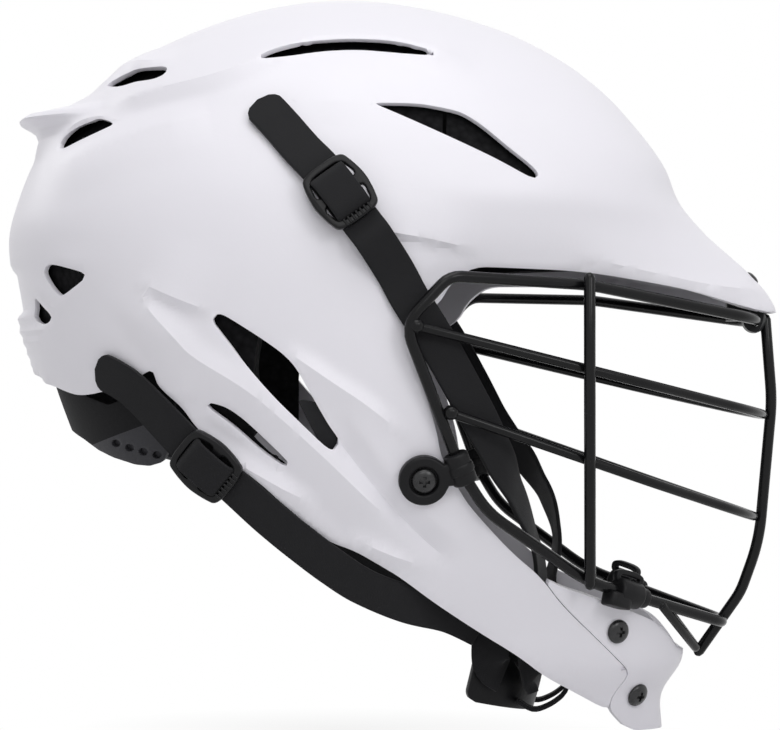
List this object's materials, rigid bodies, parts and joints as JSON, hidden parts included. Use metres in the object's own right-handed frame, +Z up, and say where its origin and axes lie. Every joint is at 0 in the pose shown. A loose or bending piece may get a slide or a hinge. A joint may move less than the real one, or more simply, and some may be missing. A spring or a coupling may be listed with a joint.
{
  "type": "lacrosse helmet",
  "caption": "White lacrosse helmet with vented shell, peak, wire face mask, chin guard, buckled chin straps, chin cup and nape cradle.",
  "frame": {"origin": "middle of the wearer's head inside the liner", "axes": "+X is the helmet's front, +Y the wearer's left, +Z up through the crown"},
  "size_m": [0.3182, 0.2296, 0.3001],
  "materials": {
    "shell_white": "satin moulded nylon",
    "mask_wire": "gloss black powder coat",
    "liner_foam": "expanded foam",
    "pad_fabric": "brushed fabric over foam",
    "jaw_pad_vinyl": "matte skin foam",
    "black_steel": "blackened steel",
    "webbing": "woven webbing",
    "buckle_plastic": "moulded acetal",
    "cradle_plastic": "soft moulded band",
    "cup_plastic": "moulded cup",
    "clip_plastic": "moulded nylon"
  },
  "bodies": {
    "helmet": {"back_pad": "pad_fabric", "brow_pad": "pad_fabric", "chin_clip_left": "clip_plastic", "chin_clip_right": "clip_plastic", "chin_guard": "shell_white", "chin_guard_nuts": "black_steel", "chin_guard_screws": "black_steel", "chin_pad_left": "jaw_pad_vinyl", "chin_pad_right": "jaw_pad_vinyl", "cradle_pins": "clip_plastic", "crown_pad": "pad_fabric", "front_strap_left": "webbing", "front_strap_right": "webbing", "front_tab_left": "webbing", "front_tab_right": "webbing", "jaw_pad_left": "jaw_pad_vinyl", "jaw_pad_right": "jaw_pad_vinyl", "liner_front": "liner_foam", "liner_middle": "liner_foam", "liner_rear": "liner_foam", "mask_brow_bar": "mask_wire", "mask_center_bar": "mask_wire", "mask_chin_prongs": "mask_wire", "mask_chin_rail": "mask_wire", "mask_cross_bar_lower": "mask_wire", "mask_cross_bar_upper": "mask_wire", "mask_side_bar_left": "mask_wire", "mask_side_bar_right": "mask_wire", "rear_strap_left": "webbing", "rear_strap_right": "webbing", "rear_tab_left": "webbing", "rear_tab_right": "webbing", "shell": "shell_white", "side_clip_left": "clip_plastic", "side_clip_nuts": "black_steel", "side_clip_right": "clip_plastic", "side_clip_screws": "black_steel", "side_pad_left": "pad_fabric", "side_pad_right": "pad_fabric", "snap_studs": "black_steel", "visor_clip": "clip_plastic", "visor_clip_screw": "clip_plastic"},
    "cradle": {"rear_cradle": "cradle_plastic"},
    "chin_cup": {"chin_cup": "cup_plastic", "chin_cup_pad": "pad_fabric", "chin_cup_tabs": "webbing"},
    "front_buckle_right": {"front_buckle_right": "buckle_plastic", "front_buckle_loop_right": "webbing"},
    "rear_buckle_right": {"rear_buckle_right": "buckle_plastic", "rear_buckle_loop_right": "webbing"},
    "front_buckle_left": {"front_buckle_left": "buckle_plastic", "front_buckle_loop_left": "webbing"},
    "rear_buckle_left": {"rear_buckle_left": "buckle_plastic", "rear_buckle_loop_left": "webbing"}
  },
  "joints": [
    {"name": "cradle_tilt", "type": "hinge", "parent": "helmet", "child": "cradle", "pos_m": [-0.06678, 0, -0.02167], "axis": [0, 1, 0], "range_deg": [-4, 5]},
    {"name": "chin_cup_swing", "type": "hinge", "parent": "helmet", "child": "chin_cup", "pos_m": [0.0675, 0, -0.138], "axis": [0, 1, 0], "range_deg": [-12, 12]},
    {"name": "front_buckle_slide_right", "type": "slide", "parent": "helmet", "child": "front_buckle_right", "axis": [0.6057, -0.1149, -0.7873], "range_m": [-0.005, 0.005]},
    {"name": "rear_buckle_slide_right", "type": "slide", "parent": "helmet", "child": "rear_buckle_right", "axis": [0.756, -0.0038, -0.6546], "range_m": [-0.005, 0.005]},
    {"name": "front_buckle_slide_left", "type": "slide", "parent": "helmet", "child": "front_buckle_left", "axis": [0.6057, 0.1149, -0.7873], "range_m": [-0.005, 0.005]},
    {"name": "rear_buckle_slide_left", "type": "slide", "parent": "helmet", "child": "rear_buckle_left", "axis": [0.756, 0.0038, -0.6546], "range_m": [-0.005, 0.005]}
  ]
}
